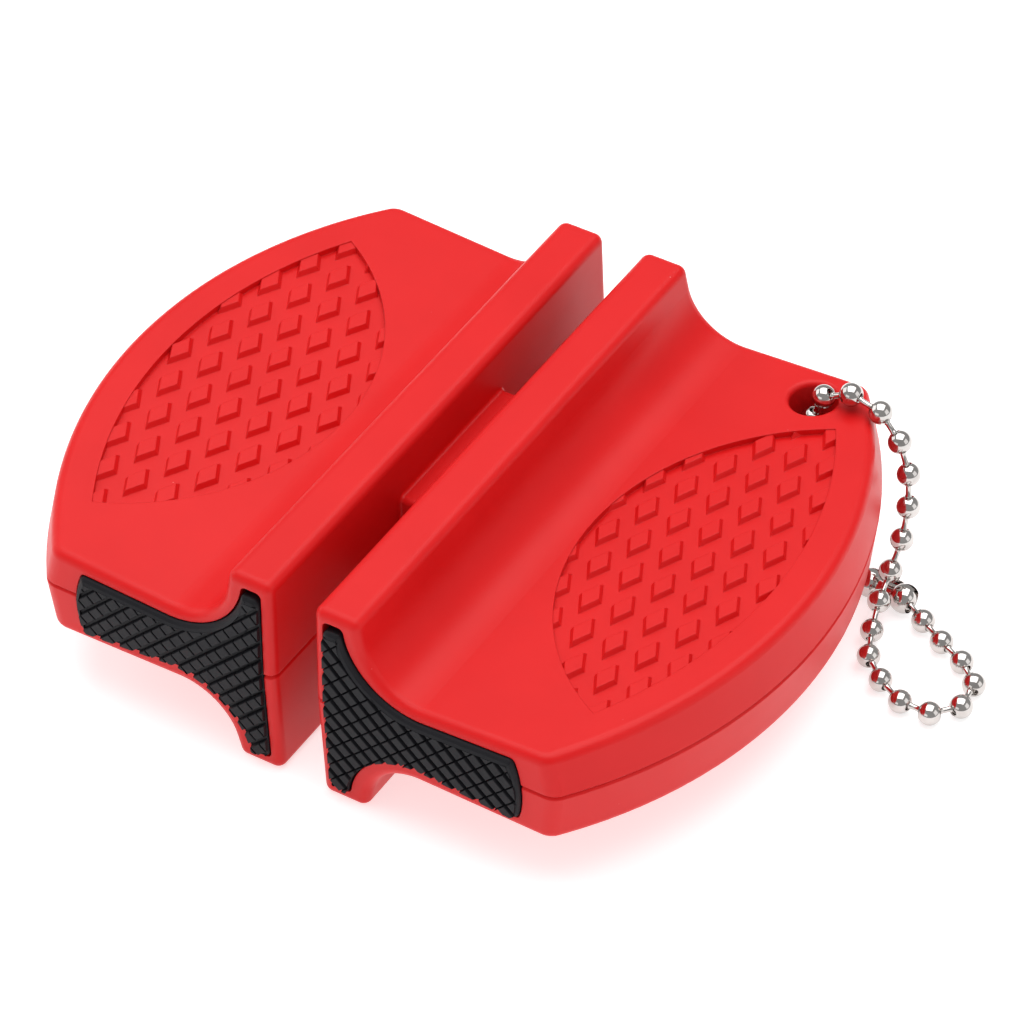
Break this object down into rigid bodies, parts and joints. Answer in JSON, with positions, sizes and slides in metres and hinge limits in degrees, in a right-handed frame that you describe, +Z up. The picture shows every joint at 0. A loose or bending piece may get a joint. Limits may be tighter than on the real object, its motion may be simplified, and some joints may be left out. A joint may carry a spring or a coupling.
{
  "type": "edge tuning tool",
  "caption": "Pocket ski and snowboard edge sharpener: two rounded wings joined by a bridge in the guide slot, rubber end pads, ball key chain.",
  "frame": {"origin": "middle of the footprint, on the surface the tool stands on (body only, without the key chain)", "axes": "+X across the wings towards the wing with the key chain, +Y along the guide slot towards the end with the chain hole, +Z up"},
  "size_m": [0.0904, 0.0618, 0.0241],
  "materials": {
    "red_shell": "satin",
    "pad_rubber": "matte",
    "carbide": "satin",
    "ceramic": "matte",
    "screw_steel": "satin",
    "nickel": "polished"
  },
  "bodies": {
    "tool": {"upper_shell": "red_shell", "lower_shell": "red_shell", "pad_front_right": "pad_rubber", "pad_front_left": "pad_rubber", "pad_back_right": "pad_rubber", "pad_back_left": "pad_rubber", "carbide_blade_front": "carbide", "carbide_blade_rear": "carbide", "ceramic_rod_front": "ceramic", "ceramic_rod_rear": "ceramic", "shell_screws": "screw_steel"},
    "chain": {"ball_chain": "nickel", "chain_connector": "nickel"}
  },
  "joints": [
    {"name": "chain_swivel", "type": "hinge", "parent": "tool", "child": "chain", "pos_m": [0.024, 0.026, 0.0121], "axis": [0, 0, 1], "range_deg": [-4, 75]}
  ]
}
